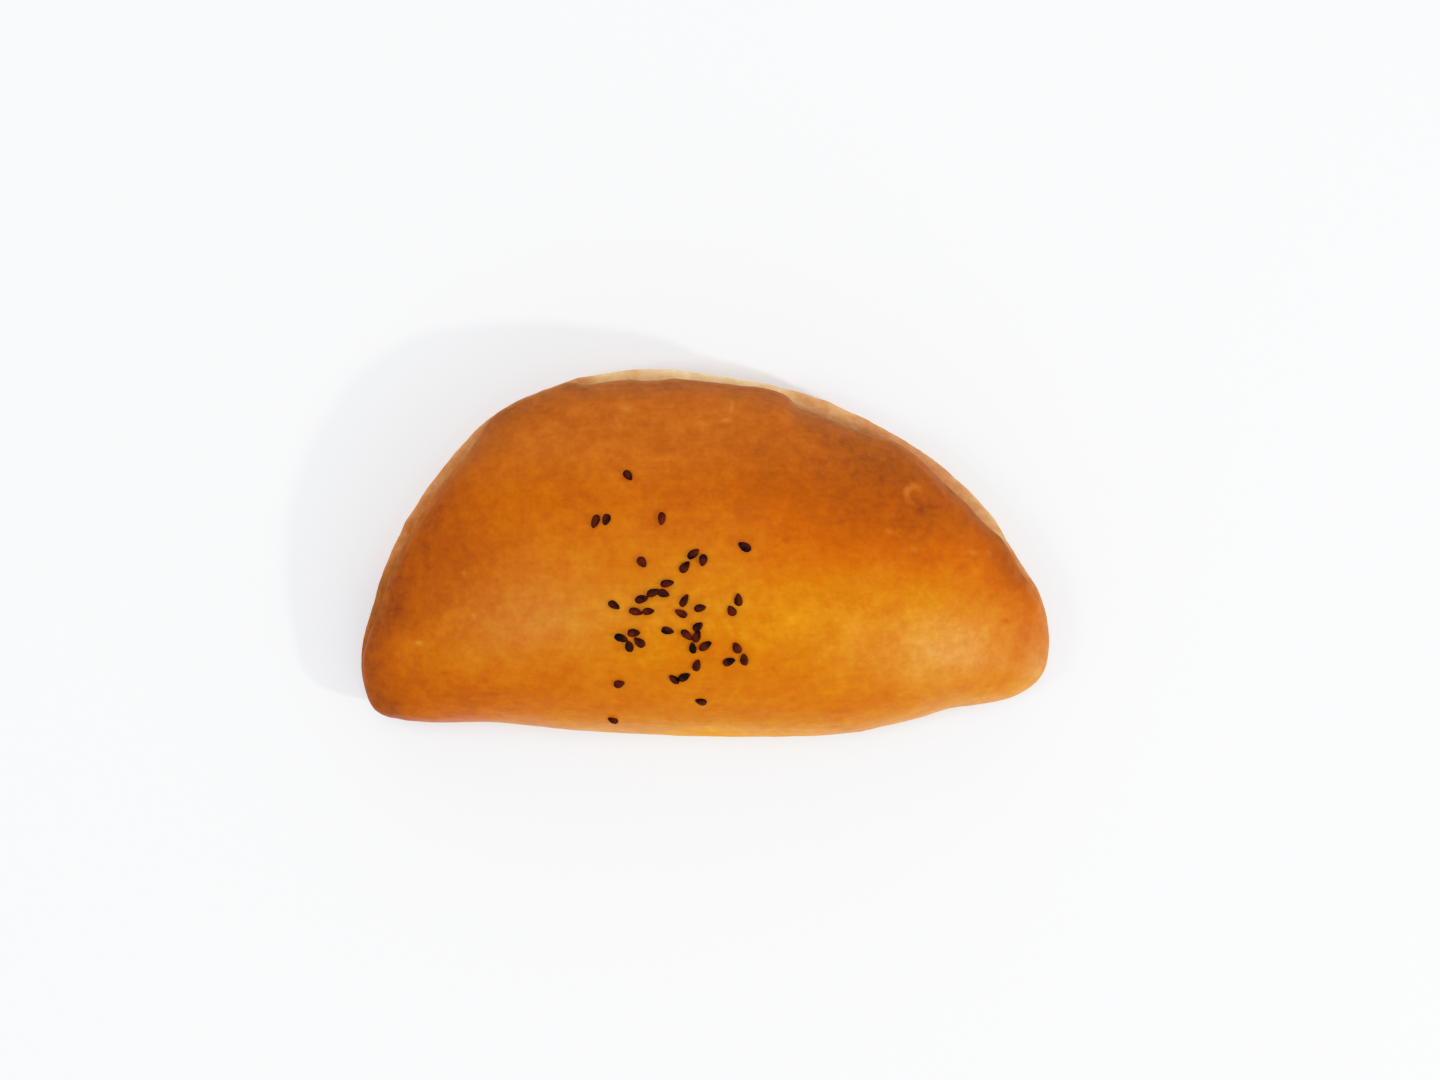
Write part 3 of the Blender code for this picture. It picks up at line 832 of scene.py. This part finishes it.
class Shader(Nodes):
    """A material, about one Principled BSDF."""

    def __init__(self, name):
        self.material = bpy.data.materials.new(name)
        self.material.use_nodes = True
        super().__init__(self.material.node_tree)
        self.surface = self.tree.nodes["Principled BSDF"]
        self.place = self.add("ShaderNodeTexCoord").outputs["Object"]

    def set(self, socket, value):
        """A value that is the same all over."""
        self.surface.inputs[socket].default_value = value

    def paint(self, socket, value):
        """A value that changes from place to place."""
        self.feed(self.surface, socket, value)

    def field(self, name):
        return self.add("ShaderNodeAttribute", {"attribute_name": name}).outputs["Fac"]

    def noise(self, size, detail=3.0, roughness=0.5, place=None):
        """Noise about 0.5, with features of about this size."""
        look = {"Scale": 1 / size, "Detail": detail, "Roughness": roughness}
        return self.add("ShaderNodeTexNoise", Vector=place or self.place, **look).outputs["Fac"]

    def stretched(self, scale):
        node = self.add("ShaderNodeVectorMath", {"operation": "MULTIPLY"}, _0=self.place, _1=scale)
        return node.outputs[0]

    def vary(self, value, noise, share):
        """value + (noise - 0.5) * share"""
        return self.calculate("ADD", value, self.calculate("MULTIPLY_ADD", noise, share, -share / 2))

    def remap(self, value, start, end, first, last):
        """From first, where the value is at the start, to last, where it is at the end."""
        ends = {"From_Min": start, "From_Max": end, "To_Min": first, "To_Max": last}
        return self.add("ShaderNodeMapRange", {"clamp": True}, Value=value, **ends).outputs["Result"]

    def blend(self, share, first, second):
        """From the first colour to the second."""
        return self.add("ShaderNodeMix", {"data_type": "RGBA"}, _0=share, _6=first, _7=second).outputs[2]

    def bump(self, height, distance):
        return self.add("ShaderNodeBump", Height=height, Distance=distance).outputs["Normal"]


def crust_material():
    """Baked dough: its colour goes by how brown it is, from baking and painted shade, and by the egg wash,
    whose thin places carry painted sheen and highlights; its gloss by the egg wash.
    """
    shader = Shader("baked_crust")
    brownness, wash_and_sheen = shader.field("brownness"), shader.field("wash_and_sheen")
    brushing = shader.noise(*BRUSHING, shader.stretched(BRUSHING_STRETCH))

    tone = brownness
    for size, detail, share in MOTTLES:
        tone = shader.vary(tone, shader.noise(size, detail), share)
    tone = shader.vary(tone, brushing, BRUSHING_SHARE)
    dry, washed = shader.ramp(tone, DRY_STOPS), shader.ramp(tone, CRUST_STOPS)
    shader.paint("Base Color", shader.blend(wash_and_sheen, dry, washed))

    pale_dullness = shader.remap(brownness, *PALE_BAKE, 0, PALE_ROUGHNESS)
    roughness = shader.calculate("ADD", shader.grey_ramp(wash_and_sheen, ROUGHNESS), pale_dullness)
    gloss_size, gloss_share = UNEVEN_GLOSS
    shader.paint("Roughness", shader.vary(roughness, shader.noise(gloss_size), gloss_share))

    grain = shader.vary(shader.noise(*GRAIN), brushing, GRAIN_BRUSHING)
    shader.paint("Normal", shader.bump(grain, GRAIN_DEPTH))
    shader.set("Specular IOR Level", SPECULAR)
    shader.set("Subsurface Weight", CRUST_GLOW)
    shader.set("Subsurface Radius", CRUST_GLOW_REACH)
    shader.set("Subsurface Scale", CRUST_GLOW_DEPTH)
    return shader.material


def seed_material():
    """Nigella: near black, dull, with a browner tinge here and there."""
    shader = Shader("nigella")
    shader.paint("Base Color", shader.ramp(shader.noise(*SEED_MOTTLE), SEED_STOPS))
    shader.set("Roughness", SEED_ROUGHNESS)
    shader.set("Specular IOR Level", SPECULAR)
    shader.paint("Normal", shader.bump(shader.noise(*SEED_GRAIN), SEED_GRAIN_DEPTH))
    return shader.material


# ---- Stage, light and camera ----


def floor():
    mesh = bpy.data.meshes.new("floor")
    half = FLOOR_SIZE / 2
    corners = [(-half, -half, 0), (half, -half, 0), (half, half, 0), (-half, half, 0)]
    mesh.from_pydata(corners, [], [(0, 1, 2, 3)])
    shader = Shader("pale_floor")
    shader.set("Base Color", FLOOR_COLOUR)
    shader.set("Roughness", FLOOR_ROUGHNESS)
    shader.set("Specular IOR Level", FLOOR_SPECULAR)
    mesh.materials.append(shader.material)
    obj = add_object("floor", mesh)


def sky():
    """A soft white surround: brightest a little way up, dim overhead, and brighter on the right."""
    world = bpy.data.worlds.new("studio")
    bpy.context.scene.world = world
    world.use_nodes = True
    nodes = Nodes(world.node_tree)
    way = nodes.add("ShaderNodeTexCoord").outputs["Generated"]
    up = nodes.add("ShaderNodeSeparateXYZ", Vector=way).outputs["Z"]
    towards = (SKY_LEAN * math.cos(SKY_HEADING), SKY_LEAN * math.sin(SKY_HEADING), 0)
    lean = nodes.add("ShaderNodeVectorMath", {"operation": "DOT_PRODUCT"}, _0=way, _1=towards)
    side = nodes.calculate("ADD", lean.outputs["Value"], 1)
    glow = nodes.calculate("MULTIPLY", nodes.grey_ramp(up, SKY_SHAPE), side)
    background = nodes.tree.nodes["Background"]
    nodes.feed(background, "Color", (1, 1, 1, 1))
    nodes.feed(background, "Strength", nodes.calculate("MULTIPLY", glow, SKY_GLOW))


def softbox(name, heading, elevation, distance, size, power):
    """A square lamp aimed at the pastry."""
    flat = math.cos(elevation)
    way = Vector((math.cos(heading) * flat, math.sin(heading) * flat, math.sin(elevation)))
    lamp = bpy.data.lights.new(name, "AREA")
    lamp.size, lamp.energy = size, power
    obj = add_object(name, lamp)
    obj.location = way * distance
    obj.rotation_euler = way.to_track_quat("Z", "Y").to_euler()


def camera():
    """Looking straight down from a point a little to the right of and behind the pastry's middle."""
    lens = bpy.data.cameras.new("camera")
    lens.lens, lens.sensor_width = LENS, SENSOR_WIDTH
    obj = add_object("camera", lens)
    obj.location = CAMERA_PLACE
    bpy.context.scene.camera = obj


def tone_curve():
    """A photograph's toe and shoulder: the floor stays under white, and the deepest tones close up."""
    view = bpy.context.scene.view_settings
    view.view_transform = "Standard"
    view.use_curve_mapping = True
    mapping = view.curve_mapping
    white = TONE[-1][0]
    mapping.white_level = (white, white, white)
    curve = mapping.curves[3]  # of all three colours at once
    for light, shown in TONE[:-1]:
        curve.points.new(light / white, shown)
    mapping.update()


def main():
    crust = dough()
    crust.data.materials.append(crust_material())
    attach(crust, "root")
    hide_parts("pastry")

    scattered = seeds(crust)
    scattered.data.materials.append(seed_material())
    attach(scattered, "root")
    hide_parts("pastry")

    floor()
    sky()
    for lamp in LAMPS:
        softbox(*lamp)
    camera()
    tone_curve()


main()
